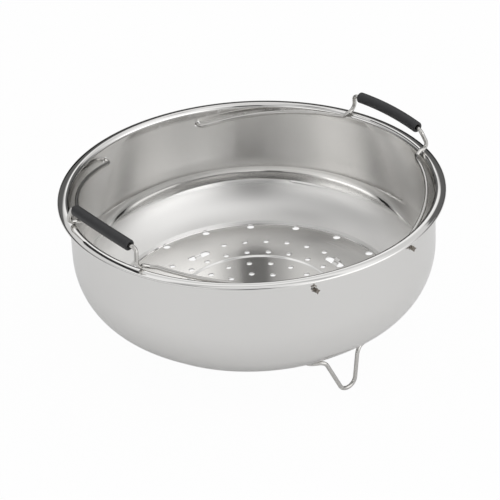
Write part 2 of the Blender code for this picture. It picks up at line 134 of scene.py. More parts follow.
# %% Wall line
BOWL_DEPTH = 78.0 * MM
WALL_DEPTH = 37.0 * MM
FLOOR_INSET = 24.5 * MM
STEP_WIDTH = 1.9 * MM
STEP_RISE = 2.4 * MM
CURVE_POWER = 2.1
CURVE_TURN = 0.72 * right_angle
CURVE_STEPS = 44
CURVE_GATHER = 1.3

floor_radius = wall_outside - FLOOR_INSET
floor_under = rim_top - BOWL_DEPTH
floor_middle = floor_under + SHEET / 2


def wall_section():
    """From the end of the straight wall in to the top of the step, closer set at the start."""
    top = rim_top - WALL_DEPTH
    step_top = Vector((floor_radius + STEP_WIDTH, 0.0, floor_middle + STEP_RISE))
    squared = 2 / CURVE_POWER
    across = math.cos(CURVE_TURN) ** squared
    centre = (step_top.x - wall_middle * across) / (1 - across)
    depth = (top - step_top.z) / math.sin(CURVE_TURN) ** squared
    points = []
    for k in range(CURVE_STEPS + 1):
        angle = CURVE_TURN * (k / CURVE_STEPS) ** CURVE_GATHER
        reach = centre + (wall_middle - centre) * math.cos(angle) ** squared
        points.append(Vector((reach, 0.0, top - depth * math.sin(angle) ** squared)))
    return points


wall = wall_section()
print("the lower wall is", round((wall[0].z - wall[-1].z) / MM, 1), "mm high")

# %% [markdown]
# The floor is straight runs with small folds between them: the foot of the step and the two
# edges of the pressed disc. Only its corners are written down, each with the radius of its
# fold. A helper then puts an arc in place of each corner. Wires are bent by the same helper.

# %% Floor line
STEP_FILLET = 0.5 * MM
DISC_RADIUS = 48.5 * MM
DISC_DROP = 0.7 * MM
DISC_SLOPE_WIDTH = 1.6 * MM
DISC_FILLET = 1.5 * MM
FOLD_FINENESS = math.radians(12)


def bend(corners, fineness, closed=False):
    """Points of a line with straight runs and round bends, from (corner, bend radius) pairs."""
    points = []
    last = len(corners) - 1
    for i, (corner, radius) in enumerate(corners):
        if radius == 0 or (not closed and i in (0, last)):
            points.append(corner.copy())
            continue
        before = (corners[i - 1][0] - corner).normalized()
        after = (corners[(i + 1) % len(corners)][0] - corner).normalized()
        half = before.angle(after) / 2
        turn = math.pi - 2 * half
        steps = max(1, math.ceil(turn / fineness))
        centre = corner + (before + after).normalized() * (radius / math.sin(half))
        start = corner + before * (radius / math.tan(half)) - centre
        axis = after.cross(before).normalized()
        points += [centre + Matrix.Rotation(turn * k / steps, 3, axis) @ start for k in range(steps + 1)]
    return points


def floor_section():
    disc_height = floor_middle - DISC_DROP
    return [(Vector((floor_radius, 0.0, floor_middle)), STEP_FILLET),
            (Vector((DISC_RADIUS + DISC_SLOPE_WIDTH / 2, 0.0, floor_middle)), DISC_FILLET),
            (Vector((DISC_RADIUS - DISC_SLOPE_WIDTH / 2, 0.0, disc_height)), DISC_FILLET),
            (Vector((0.0, 0.0, disc_height)), 0.0)]


folds = [(wall[-2], 0.0), (wall[-1], STEP_FILLET)] + floor_section()
section = rim + wall[:-2] + bend(folds, FOLD_FINENESS)
section_depth = section[0].z - section[-1].z
print("the section has", len(section), "points and is", round(section_depth / MM, 1), "mm deep")

# %% [markdown]
# The section is turned about the upright axis, as on a spinning lathe. First it has to become
# a line that Blender can turn: a plane is merged to one vertex, which is then extruded from
# point to point. Spin sweeps that line round, and the two ends are merged where they meet.

# %% Turn the section
BOWL_SEGMENTS = 192
MERGE_REACH = 0.001 * MM
SHARP_FROM = math.radians(40)


def select_only(piece):
    bpy.ops.object.select_all(action='DESELECT')
    piece.select_set(True)
    bpy.context.view_layer.objects.active = piece


def draw_line(name, points, closed=False):
    """A chain of vertices through the points."""
    bpy.ops.object.select_all(action='DESELECT')
    bpy.ops.mesh.primitive_plane_add(size=MM)
    line = bpy.context.object
    line.name = name
    bpy.ops.object.mode_set(mode='EDIT')
    bpy.ops.mesh.select_mode(type='VERT')
    bpy.ops.mesh.select_all(action='SELECT')
    bpy.ops.mesh.merge(type='CENTER')
    bpy.ops.transform.translate(value=points[0])
    for here, there in zip(points, points[1:]):
        bpy.ops.mesh.extrude_region_move(TRANSFORM_OT_translate={"value": there - here})
    bpy.ops.object.mode_set(mode='OBJECT')
    if closed:
        line.data.vertices[0].select = True
        line.data.vertices[-1].select = True
        bpy.ops.object.mode_set(mode='EDIT')
        bpy.ops.mesh.edge_face_add()
        bpy.ops.object.mode_set(mode='OBJECT')
    return line


def tidy_mesh(piece):
    """Merges doubled vertices, turns every face outwards and shades the piece smooth."""
    select_only(piece)
    bpy.ops.object.mode_set(mode='EDIT')
    bpy.ops.mesh.select_all(action='SELECT')
    bpy.ops.mesh.remove_doubles(threshold=MERGE_REACH)
    bpy.ops.mesh.normals_make_consistent(inside=False)
    bpy.ops.object.mode_set(mode='OBJECT')
    bpy.ops.object.shade_smooth_by_angle(angle=SHARP_FROM)


bowl = draw_line("steamer_bowl", section)
bpy.ops.object.mode_set(mode='EDIT')
bpy.ops.mesh.select_all(action='SELECT')
bpy.ops.mesh.spin(steps=BOWL_SEGMENTS, angle=math.tau, center=(0, 0, 0), axis=(0, 0, 1))
bpy.ops.object.mode_set(mode='OBJECT')
tidy_mesh(bowl)
print("turned bowl:", len(bowl.data.polygons), "faces")

# %% [markdown]
# So far the bowl has no thickness. The section could have been drawn twice, once for each side
# of the sheet, but a Solidify modifier keeps the thickness even through every fold. It gives
# half of it to each side of the drawn line.

# %% Sheet thickness


def apply_modifiers(piece):
    select_only(piece)
    for modifier in list(piece.modifiers):
        bpy.ops.object.modifier_apply(modifier=modifier.name)


sheet = bowl.modifiers.new("sheet", 'SOLIDIFY')
sheet.thickness = SHEET
sheet.offset = 0
sheet.use_even_offset = True
apply_modifiers(bowl)
print("bowl of sheet:", len(bowl.data.polygons), "faces")

# %% [markdown]
# The holes are punched from above, so each one has a soft edge where the steel was drawn down
# and a clean shaft below. A bevel after the cut would have to find hundreds of small edges, so
# the soft edge is put on the punch instead: a cylinder that is cut across twice near the
# floor's top face and widened above it. One punch of each size is made.

# %% Punches
SMALL_HOLE = 3.6 * MM
BIG_HOLE = 4.8 * MM
SMALL_SIDES = 20
BIG_SIDES = 28
EDGE_FLARE = 0.15 * MM
FLARE_GAIN = 4
PUNCH_REACH = 2.0 * MM


def pick(piece, wanted):
    """Enters edit mode with the vertices selected whose place is wanted."""
    select_only(piece)
    bpy.ops.object.mode_set(mode='EDIT')
    bpy.ops.mesh.select_all(action='DESELECT')
    bpy.ops.object.mode_set(mode='OBJECT')
    for vertex in piece.data.vertices:
        vertex.select = wanted(vertex.co)
    bpy.ops.object.mode_set(mode='EDIT')


def make_punch(name, diameter, sides):
    """A cylinder about Z that starts at the floor's top face, with its upper end flared."""
    bpy.ops.object.select_all(action='DESELECT')
    bpy.ops.mesh.primitive_cylinder_add(vertices=sides, radius=diameter / 2, depth=2 * PUNCH_REACH)
    punch = bpy.context.object
    punch.name = name
    bpy.ops.object.mode_set(mode='EDIT')
    for height in (-EDGE_FLARE, EDGE_FLARE):
        bpy.ops.mesh.select_all(action='SELECT')
        bpy.ops.mesh.bisect(plane_co=(0, 0, height), plane_no=(0, 0, 1))
    bpy.ops.object.mode_set(mode='OBJECT')
    wide = 1 + FLARE_GAIN * EDGE_FLARE / diameter
    pick(punch, lambda place: place.z > 0)
    bpy.ops.transform.resize(value=(wide, wide, 1), center_override=(0, 0, 0))
    bpy.ops.object.mode_set(mode='OBJECT')
    return punch


small_punch = make_punch("small_punch", SMALL_HOLE, SMALL_SIDES)
big_punch = make_punch("big_punch", BIG_HOLE, BIG_SIDES)
print("punches:", len(small_punch.data.polygons), "and", len(big_punch.data.polygons), "faces")

# %% [markdown]
# The pattern follows a rule, so it is worked out and not listed. The small holes lie on rings
# that are one step apart, with six more on each ring than on the one before. The big holes
# stand in one ring near the edge of the floor. The tabs need their space, so small holes close
# to a slot are left out. Each place gets its own copy of the punch.

# %% Pattern of holes
BIG_HOLE_INSET = 2.3 * MM
BIG_HOLES = 18
BIG_HOLE_PHASE = math.radians(-5.2)
BIG_HOLE_STEPS = 6.5
PATTERN_TURN = math.radians(-1.25)
SMALL_RINGS = 5
SLOT_STEPS = 4.5
SLOT_LENGTH = 16.0 * MM
SLOT_WIDTH = 5.4 * MM
SLOT_KEEP = 4.8 * MM
TAB_ANGLES = [math.radians(degrees) for degrees in (0, 90, 180)]

big_ring = floor_radius - BIG_HOLE_INSET
hole_step = big_ring / BIG_HOLE_STEPS
slot_inside = SLOT_STEPS * hole_step
floor_top = floor_under + SHEET


def around(radius, angle, height):
    """A place at this distance from the upright axis, at this angle round it."""
    return Vector((radius * math.cos(angle), radius * math.sin(angle), height))


def near_slot(place):
    for angle in TAB_ANGLES:
        local = Matrix.Rotation(-angle - PATTERN_TURN, 3, 'Z') @ place
        along = max(0.0, abs(local.y) - SLOT_LENGTH / 2)
        across = max(0.0, abs(local.x - slot_inside - SLOT_WIDTH / 2) - SLOT_WIDTH / 2)
        if local.x > 0 and math.hypot(along, across) < SLOT_KEEP:
            return True
    return False


def top_of_floor(radius):
    return floor_top if radius > DISC_RADIUS else floor_top - DISC_DROP


def copy_to(punch, place):
    copy = punch.copy()
    copy.data = punch.data.copy()
    copy.location = place
    bpy.context.scene.collection.objects.link(copy)
    return copy


punches = [copy_to(small_punch, Vector((0.0, 0.0, top_of_floor(0))))]
for ring in range(1, SMALL_RINGS + 1):
    ring_radius = ring * hole_step
    for k in range(6 * ring):
        place = around(ring_radius, PATTERN_TURN + math.tau * k / (6 * ring), top_of_floor(ring_radius))
        if not near_slot(place):
            punches.append(copy_to(small_punch, place))
for k in range(BIG_HOLES):
    place = around(big_ring, BIG_HOLE_PHASE + math.tau * k / BIG_HOLES, floor_top)
    punches.append(copy_to(big_punch, place))
bpy.ops.object.select_all(action='DESELECT')
for spare in (small_punch, big_punch):
    spare.select_set(True)
bpy.ops.object.delete()
punch_count = len(punches)
print(punch_count, "holes to punch")

# %% [markdown]
# A slot is an oblong hole. It starts as a round punch too: one half of it is pulled away from
# the other along the slot, which leaves two round ends with straight sides between them, and
# keeps the flare all the way round.

# %% Slots
for index, angle in enumerate(TAB_ANGLES):
    slot_punch = make_punch(f"slot_punch_{index}", SLOT_WIDTH, BIG_SIDES)
    stretch = SLOT_LENGTH / 2 - SLOT_WIDTH / 2
    for end in (-1.0, 1.0):
        pick(slot_punch, lambda place: math.copysign(1.0, place.y) == end)
        bpy.ops.transform.translate(value=(0, end * stretch, 0))
        bpy.ops.object.mode_set(mode='OBJECT')
    slot_punch.location = around(slot_inside + SLOT_WIDTH / 2, angle + PATTERN_TURN, floor_top)
    slot_punch.rotation_euler.z = angle + PATTERN_TURN
    punches.append(slot_punch)
print(len(punches) - punch_count, "slots to punch")

# %% [markdown]
# The handles are their own hinge pins: their ends pass through four holes high in the wall.
# Those holes are drilled along Y, as the hinge lines run. A Boolean for each hole would be slow,
# so all punches are joined and taken out of the bowl in one cut.

# %% Cut the bowl
HINGE_OFFSET = 36.9 * MM
HINGE_DROP = 10.2 * MM
HINGE_HOLE = 3.8 * MM

hinge_height = rim_top - HINGE_DROP
wall_place = math.sqrt(wall_middle ** 2 - HINGE_OFFSET ** 2)


def join(pieces, name):
    bpy.ops.object.select_all(action='DESELECT')
    for piece in pieces:
        piece.select_set(True)
    bpy.context.view_layer.objects.active = pieces[0]
    bpy.ops.object.join()
    joined = bpy.context.object
    joined.name = name
    bpy.ops.object.transform_apply(location=True, rotation=True, scale=True)
    return joined


for side_x in (-1, 1):
    for side_y in (-1, 1):
        place = Vector((side_x * HINGE_OFFSET, side_y * wall_place, hinge_height))
        bpy.ops.object.select_all(action='DESELECT')
        bpy.ops.mesh.primitive_cylinder_add(vertices=BIG_SIDES, radius=HINGE_HOLE / 2,
                                            depth=3 * PUNCH_REACH, location=place,
                                            rotation=(right_angle, 0, 0))
        punches.append(bpy.context.object)
punch = join(punches, "punches")
cut = bowl.modifiers.new("punched", 'BOOLEAN')
cut.object = punch
cut.operation = 'DIFFERENCE'
cut.solver = 'EXACT'
apply_modifiers(bowl)
select_only(punch)
bpy.ops.object.delete()
print("punched bowl:", len(bowl.data.polygons), "faces")

# %% [markdown]
# Each tab is a tongue of the floor itself, cut free on three sides, bent down and curled under
# the foot wire. It could be pulled out of the cut floor face by face, but a strip is easier to
# bend: its middle line is drawn as the bowl's was, widened by one extrusion and given thickness,
# and a bevel takes the sharp edge off. The tab at the right of the picture stands a little proud
# of the floor.

# %% Tabs
TAB_WIDTH = 4.6 * MM
TAB_SHEET = 0.7 * MM
TAB_BEND = 0.8 * MM
TAB_ROOT = 1.0 * MM
TAB_LOOSE = 2.4 * MM
TAB_LIFTS = [1.1 * MM, 0.0, 0.0]
TAB_WRAP = math.radians(105)
TAB_EDGE = 0.12 * MM
CLEARANCE = 0.3 * MM
FOOT_WIRE = 2.6 * MM

frame_height = floor_under - CLEARANCE - FOOT_WIRE / 2
clip_radius = slot_inside - CLEARANCE


def tab_line(lift):
    """From the tab's root in the floor over its fold and round under the wire."""
    hook = FOOT_WIRE / 2 + CLEARANCE + TAB_SHEET / 2
    root = slot_inside + SLOT_WIDTH + TAB_ROOT
    bend_radius = TAB_BEND + lift
    fold_place = clip_radius + hook + TAB_LOOSE + bend_radius
    fold_height = floor_middle + lift - bend_radius
    fold = arc(fold_place, fold_height, bend_radius, right_angle, 2 * right_angle, steps=8)
    curl = arc(clip_radius, frame_height, hook, 0.0, -TAB_WRAP, steps=14)
    return [Vector((root, 0.0, floor_middle))] + fold + curl


def make_tab(name, angle, lift):
    tab = draw_line(name, tab_line(lift))
    bpy.ops.object.mode_set(mode='EDIT')
    bpy.ops.mesh.select_all(action='SELECT')
    bpy.ops.transform.translate(value=(0, -TAB_WIDTH / 2, 0))
    bpy.ops.mesh.extrude_region_move(TRANSFORM_OT_translate={"value": (0, TAB_WIDTH, 0)})
    bpy.ops.mesh.select_all(action='SELECT')
    bpy.ops.mesh.normals_make_consistent(inside=False)
    bpy.ops.object.mode_set(mode='OBJECT')
    strip = tab.modifiers.new("sheet", 'SOLIDIFY')
    strip.thickness = TAB_SHEET
    strip.offset = 0
    soft = tab.modifiers.new("soft_edges", 'BEVEL')
    soft.width = TAB_EDGE
    soft.segments = 2
    soft.limit_method = 'ANGLE'
    apply_modifiers(tab)
    tab.rotation_euler.z = angle + PATTERN_TURN
    bpy.ops.object.transform_apply(location=True, rotation=True, scale=True)
    return tab


tabs = []
for index, (angle, lift) in enumerate(zip(TAB_ANGLES, TAB_LIFTS)):
    tabs.append(make_tab(f"tab_{index}", angle, lift))
print(len(tabs), "tabs of", len(tabs[0].data.polygons), "faces")

# %% [markdown]
# Tabs and bowl are one sheet of steel, so they become one piece. A cut mesh has long thin faces
# round each hole, and plain smooth shading would bend the mirror image there. Weighted normals
# let the large flat faces set the shading instead. The inner and the outer side of the bowl
# get different finishes later, so each face is marked now by the way that it looks.

# %% Join the tabs
BOWL_SHARP_FROM = math.radians(30)
FLAT_WEIGHT = 80

bowl = join([bowl] + tabs, "steamer_bowl")
select_only(bowl)
bpy.ops.object.shade_smooth_by_angle(angle=BOWL_SHARP_FROM)
weigh = bowl.modifiers.new("weigh", 'WEIGHTED_NORMAL')
weigh.weight = FLAT_WEIGHT
weigh.keep_sharp = True
apply_modifiers(bowl)
inside = bowl.data.attributes.new("inside", 'FLOAT', 'FACE')
for face, mark in zip(bowl.data.polygons, inside.data):
    outwards = Vector((face.center.x, face.center.y, 0.0)).normalized()
    mark.value = 1.0 if face.normal.z > face.normal.dot(outwards) else 0.0
print("bowl with tabs:", len(bowl.data.polygons), "faces")

# %% [markdown]
# The foot frame is one closed loop of wire. It runs under the floor from tab to tab, and dips
# between them into three V-shaped feet, each with one long slanted leg and one steep leg. Its
# line could be drawn through dozens of points, but a wire bender only sets corners and bend
# radii, and so does this cell: three corners for a foot, two for the run through a tab, and two
# more where the front foot leaves the ring.

# %% Foot frame line
FOOT_INSET = 0.8 * MM
FOOT_RING_INSET = 2.1 * MM
FOOT_ANGLES = [math.radians(degrees) for degrees in (40.5, 135, 270)]
FOOT_BEND = 6.3 * MM
FOOT_SLANT = math.radians(27)
FOOT_LEAN = math.radians(7.5)
FOOT_SHIFT = 1.4 * MM
FOOT_RUN = 9.0 * MM
FOOT_LIFT = 0.01 * MM
FRAME_BEND = 5.0 * MM
SHOULDER_BEND = 5.0 * MM
CLIP_RUN = 9.0 * MM
SHORT_CLIP_RUN = 7.0 * MM
BEND_FINENESS = math.radians(6)

front_foot = FOOT_ANGLES[2]
back_tab = TAB_ANGLES[1]
foot_reach = floor_radius - FOOT_INSET
foot_ring = floor_radius - FOOT_RING_INSET


def foot_corners(angle):
    half = (FOOT_SLANT + FOOT_LEAN) / 2
    tilt = (FOOT_SLANT - FOOT_LEAN) / 2
    reach = FOOT_BEND / math.sin(half)
    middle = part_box("foot_frame")[0][2] + FOOT_LIFT + FOOT_WIRE / 2 + FOOT_BEND
    tip_along = FOOT_SHIFT + reach * math.sin(tilt)
    tip_height = middle - reach * math.cos(tilt)
    climb = frame_height - tip_height
    slanted_top = tip_along - climb * math.tan(FOOT_SLANT)
    steep_top = tip_along + climb * math.tan(FOOT_LEAN)
    turn = Matrix.Rotation(angle, 3, 'Z')

    def on_ring(along):
        return around(foot_ring, angle + math.atan2(along, foot_reach), frame_height)

    corners = [(turn @ Vector((foot_reach, slanted_top, frame_height)), SHOULDER_BEND),
               (turn @ Vector((foot_reach, tip_along, tip_height)), FOOT_BEND),
               (turn @ Vector((foot_reach, steep_top, frame_height)), SHOULDER_BEND)]
    if angle == front_foot:
        corners = [(on_ring(slanted_top - FOOT_RUN), FRAME_BEND)] + corners
        corners.append((on_ring(steep_top + FOOT_RUN), FRAME_BEND))
    return corners


def clip_corners(angle):
    turn = Matrix.Rotation(angle + PATTERN_TURN, 3, 'Z')
    ends = (-SHORT_CLIP_RUN if angle == back_tab else -CLIP_RUN, CLIP_RUN)
    return [(turn @ Vector((clip_radius, along, frame_height)), FRAME_BEND) for along in ends]


stations = [(angle, foot_corners(angle)) for angle in FOOT_ANGLES]
stations += [(angle, clip_corners(angle)) for angle in TAB_ANGLES]
frame_corners = [corner for _, corners in sorted(stations) for corner in corners]
foot_path = bend(frame_corners, BEND_FINENESS, closed=True)
print("the foot frame has", len(frame_corners), "corners and", len(foot_path), "points")

# %% [markdown]
# A line becomes a wire when it is turned into a curve with a round bevel. A circle could be
# extruded along the line as well, but the curve keeps the wire's thickness even through every
# bend. Then it is made a mesh again, so that its ends can be joined to other pieces.

# %% Foot frame wire
WIRE_ROUNDNESS = 6


def thicken(line, diameter, roundness, capped=True):
    """Turns a drawn line into a round rod along it, and smooths its shading."""
    select_only(line)
    bpy.ops.object.convert(target='CURVE')
    line.data.dimensions = '3D'
    line.data.bevel_depth = diameter / 2
    line.data.bevel_resolution = roundness
    line.data.use_fill_caps = capped
    bpy.ops.object.convert(target='MESH')
    tidy_mesh(line)
    return line


foot_frame = thicken(draw_line("foot_wire", foot_path, closed=True), FOOT_WIRE, WIRE_ROUNDNESS)
print("foot frame:", len(foot_frame.data.polygons), "faces")

# %% [markdown]
# A handle is one wire. From the wall hole it bends into an arm that follows the inside of the
# bowl, climbs to the rim, crosses it, rises as a post and carries the sleeve. Half of it is
# worked out, and the other half is its mirror image, so both ends are sure to lie on one hinge
# line.

# %% Handle line
HANDLE_WIRE = 2.6 * MM
ARM_INSET = 5.3 * MM
ARM_STEP = math.radians(3)
ARM_GAP = math.radians(3.5)
ARM_DROP = 2.0 * MM
END_STANDOFF = 0.3 * MM
END_LENGTH = 3.4 * MM
END_BEND = 3.4 * MM
POST_ANGLE = math.radians(18.1)
POST_TOP_ANGLE = math.radians(16.6)
POST_INSET = 0.8 * MM
POST_BEND = 3.8 * MM
POST_DROP = 1.0 * MM
CROSSING = math.radians(1.1)
CROSSING_INSET = 1.5 * MM
CROSSING_BEND = 1.3 * MM
GRIP_INSET = 4.7 * MM
GRIP_HEIGHT = 13.5 * MM
GRIP_HALF_ANGLE = math.radians(14.3)
GRIP_BOW = 1.2 * MM
GRIP_CROWN = 0.98 * MM
GRIP_STEPS = 24

arm_radius = wall_outside - ARM_INSET
post_reach = rim_radius - POST_INSET
grip_reach = post_reach - GRIP_INSET
rest_height = rim_top + CLEARANCE + HANDLE_WIRE / 2
hinge_wall = math.sqrt(wall_outside ** 2 - HINGE_OFFSET ** 2)
head_place = hinge_wall + END_STANDOFF + END_LENGTH / 2


def arm_line():
    """From the bend at the wall hole up to just short of the rim."""
    start = math.acos((HINGE_OFFSET + END_BEND) / arm_radius)
    end = POST_ANGLE + ARM_GAP
    steps = round((start - end) / ARM_STEP)
    span = math.cos(end) * arm_radius - HINGE_OFFSET
    points = []
    for k in range(steps + 1):
        angle = start + (end - start) * k / steps
        reach = (math.cos(angle) * arm_radius - HINGE_OFFSET) / span
        height = hinge_height + (rest_height - ARM_DROP - hinge_height) * reach
        points.append(around(arm_radius, angle, height))
    return points


def grip_line():
    """The middle line of the sleeve: bowed outwards and crowned a little."""
    end = around(grip_reach, GRIP_HALF_ANGLE, rim_top + GRIP_HEIGHT)
    points = []
    for k in range(GRIP_STEPS + 1):
        along = end.y * (1 - 2 * k / GRIP_STEPS)
        swell = 1 - (along / end.y) ** 2
        points.append(Vector((end.x + GRIP_BOW * swell, along, end.z + GRIP_CROWN * swell)))
    return points


def handle_corners():
    arm_start = math.sqrt(arm_radius ** 2 - (HINGE_OFFSET + END_BEND) ** 2)
    half = [(Vector((HINGE_OFFSET, head_place, hinge_height)), 0),
            (Vector((HINGE_OFFSET, arm_start + END_BEND / 2, hinge_height)), END_BEND)]
    half += [(point, 0) for point in arm_line()]
    crossing = around(arm_radius + CROSSING_INSET, POST_ANGLE + CROSSING, rest_height - ARM_DROP)
    half += [(crossing, CROSSING_BEND),
             (around(wall_outside - CLEARANCE, POST_ANGLE, rest_height), CROSSING_BEND),
             (around(post_reach, POST_ANGLE, rest_height - POST_DROP), POST_BEND),
             (around(grip_reach, POST_TOP_ANGLE, rim_top + GRIP_HEIGHT), POST_BEND)]
    half += [(point, 0) for point in grip_line()[:GRIP_STEPS // 2 + 1]]
    other = [(Vector((point.x, -point.y, point.z)), radius) for point, radius in half[:-1]]
    return half + other[::-1]


handle_path = bend(handle_corners(), BEND_FINENESS)
handle_run = sum((there - here).length for here, there in zip(handle_path, handle_path[1:]))
print("one handle is bent from", round(handle_run / MM), "mm of wire")

# %% [markdown]
# Outside the wall each end is squeezed in a press to a four-pointed star, so that it can't
# slip back through its hole. The head could be left as a plain button, but its points catch the
# light. A star starts as a cylinder with eight corners: every second one is drawn in, and the
# end towards the wall is made narrower, so that the head flares outwards.

# %% Crimped ends
END_SPREAD = 4.4 * MM
END_WAIST = 2.2 * MM
END_NECK = 0.6
END_EDGE = 0.25 * MM
STAR_CORNERS = 8


def make_star(name, side_y):
    bpy.ops.object.select_all(action='DESELECT')
    bpy.ops.mesh.primitive_cylinder_add(vertices=STAR_CORNERS, radius=END_SPREAD / 2, depth=END_LENGTH)
    star = bpy.context.object
    star.name = name

    def drawn_in(place):
        return round(math.atan2(place.y, place.x) * STAR_CORNERS / math.tau) % 2 == 1

    def at_wall(place):
        return place.z * side_y > 0

    for wanted, share in ((drawn_in, END_WAIST / END_SPREAD), (at_wall, END_NECK)):
        pick(star, wanted)
        bpy.ops.transform.resize(value=(share, share, 1), center_override=(0, 0, 0))
        bpy.ops.object.mode_set(mode='OBJECT')
    soft = star.modifiers.new("soft_edges", 'BEVEL')
    soft.width = END_EDGE
    soft.segments = 3
    apply_modifiers(star)
    star.location = (HINGE_OFFSET, side_y * head_place, hinge_height)
    star.rotation_euler.x = right_angle
    bpy.ops.object.transform_apply(location=True, rotation=True, scale=True)
    return star


head_end = head_place + END_LENGTH / 2 - hinge_wall
print("a crimped head ends", round(head_end / MM, 1), "mm out from the wall")

# %% [markdown]
# The sleeve is a length of tube pushed over the wire. It is drawn along the same line as the
# wire, left open at both ends, given a wall inwards, and its end edges are rounded. A rod with
# closed ends would look the same from afar, but close by the wire would seem to grow out of it.

# %% Handles and sleeves
GRIP_DIAMETER = 7.0 * MM
GRIP_WALL = 1.85 * MM
GRIP_EDGE = 0.9 * MM
GRIP_EDGE_FROM = math.radians(60)
GRIP_ROUNDNESS = 12


def make_sleeve(name):
    sleeve = thicken(draw_line(name, grip_line()), GRIP_DIAMETER, GRIP_ROUNDNESS, capped=False)
    tube = sleeve.modifiers.new("tube_wall", 'SOLIDIFY')
    tube.thickness = GRIP_WALL
    tube.offset = -1
    ends = sleeve.modifiers.new("round_ends", 'BEVEL')
    ends.width = GRIP_EDGE
    ends.segments = 5
    ends.limit_method = 'ANGLE'
    ends.angle_limit = GRIP_EDGE_FROM
    apply_modifiers(sleeve)
    return sleeve


def make_handle(side, turn):
    wire = thicken(draw_line(f"{side}_bail", handle_path), HANDLE_WIRE, WIRE_ROUNDNESS)
    stars = [make_star(f"{side}_star_{k}", side_y) for k, side_y in enumerate((-1, 1))]
    wire = join([wire] + stars, f"{side}_bail")
    sleeve = make_sleeve(f"{side}_sleeve")
    for piece in (wire, sleeve):
        select_only(piece)
        piece.rotation_euler.z = turn
        bpy.ops.object.transform_apply(location=True, rotation=True, scale=True)
        bpy.ops.object.shade_smooth_by_angle(angle=SHARP_FROM)
    return wire, sleeve


right_wire, right_sleeve = make_handle("right", 0.0)
left_wire, left_sleeve = make_handle("left", math.pi)
print("one handle:", len(right_wire.data.polygons), "faces, its sleeve:", len(right_sleeve.data.polygons))

# %% [markdown]
# Finishes are written as sums. Blender's shader graph could be wired up node by node, but then
# a sum of three terms takes a dozen lines. A small class wraps a socket of the graph instead, so
# that plain Python signs add the Math nodes, and one method adds any other kind of node.

# %% A shader written as Python


class Signal:
    """A socket of a shader graph that can be added, multiplied and so on."""

    def __init__(self, tree, socket):
        self.tree = tree
        self.socket = socket

    def node(self, kind, settings=None, output=0, **sockets):
        """Any node: its settings first, then its sockets by name or, as i0 and i1, by number."""
        made = self.tree.nodes.new(kind)
        for key, value in (settings or {}).items():
            setattr(made, key, value)
        for key, value in sockets.items():
            numbered = key[0] == "i" and key[1:].isdigit()
            place = made.inputs[int(key[1:]) if numbered else key.replace("_", " ")]
            if isinstance(value, Signal):
                self.tree.links.new(value.socket, place)
            else:
                place.default_value = value
        return Signal(self.tree, made.outputs[output])

    def maths(self, operation, first, second=0.0):
        return self.node('ShaderNodeMath', {"operation": operation}, i0=first, i1=second)

    def __add__(self, other):
        return self.maths('ADD', self, other)

    def __sub__(self, other):
        return self.maths('SUBTRACT', self, other)

    def __mul__(self, other):
        return self.maths('MULTIPLY', self, other)

    def __rsub__(self, other):
        return self.maths('SUBTRACT', other, self)

    __radd__ = __add__
    __rmul__ = __mul__


print("a signal knows", [name for name, member in vars(Signal).items() if callable(member)])

# %% [markdown]
# Every finish needs the same few helpers: a new material, a link into its shader, a soft step
# and a soft-edged band between two values, and a blend of two colours or of two shaders.

# %% Helpers for finishes


def new_finish(name):
    """A material with nothing but its Principled shader; returns it, a signal and the shader."""
    made = bpy.data.materials.new(name)
    made.use_nodes = True
    shader = made.node_tree.nodes["Principled BSDF"]
    return made, Signal(made.node_tree, shader.outputs[0]), shader


def feed(graph, shader, name, signal):
    graph.tree.links.new(signal.socket, shader.inputs[name])


def finish_with(graph, surface):
    """Makes this shader the material's surface, in place of the first one."""
    graph.tree.links.new(surface.socket, graph.tree.nodes["Material Output"].inputs["Surface"])


def fade(graph, value, low, high):
    """0 below low, 1 above high and a soft step between."""
    return graph.node('ShaderNodeMapRange', {"interpolation_type": 'SMOOTHSTEP'}, output='Result',
                      Value=value, From_Min=low, From_Max=high)


def between(graph, value, low, high, soft):
    """1 between low and high, 0 outside, with soft ends."""
    return fade(graph, value, low - soft, low + soft) * (1.0 - fade(graph, value, high - soft, high + soft))


def mix_colours(graph, share, first, second):
    return graph.node('ShaderNodeMix', {"data_type": 'RGBA'}, output=2, i0=share, i6=first, i7=second)


def mix_shaders(graph, share, first, second):
    return graph.node('ShaderNodeMixShader', i0=share, i1=first, i2=second)


def noise(graph, place, scale, detail):
    return graph.node('ShaderNodeTexNoise', Vector=place, Scale=scale, Detail=detail)


def bump(graph, height, strength, depth):
    return graph.node('ShaderNodeBump', Height=height, Strength=strength, Distance=depth)


helpers = (new_finish, feed, finish_with, fade, between, mix_colours, mix_shaders, noise, bump)
print("helpers:", [helper.__name__ for helper in helpers])
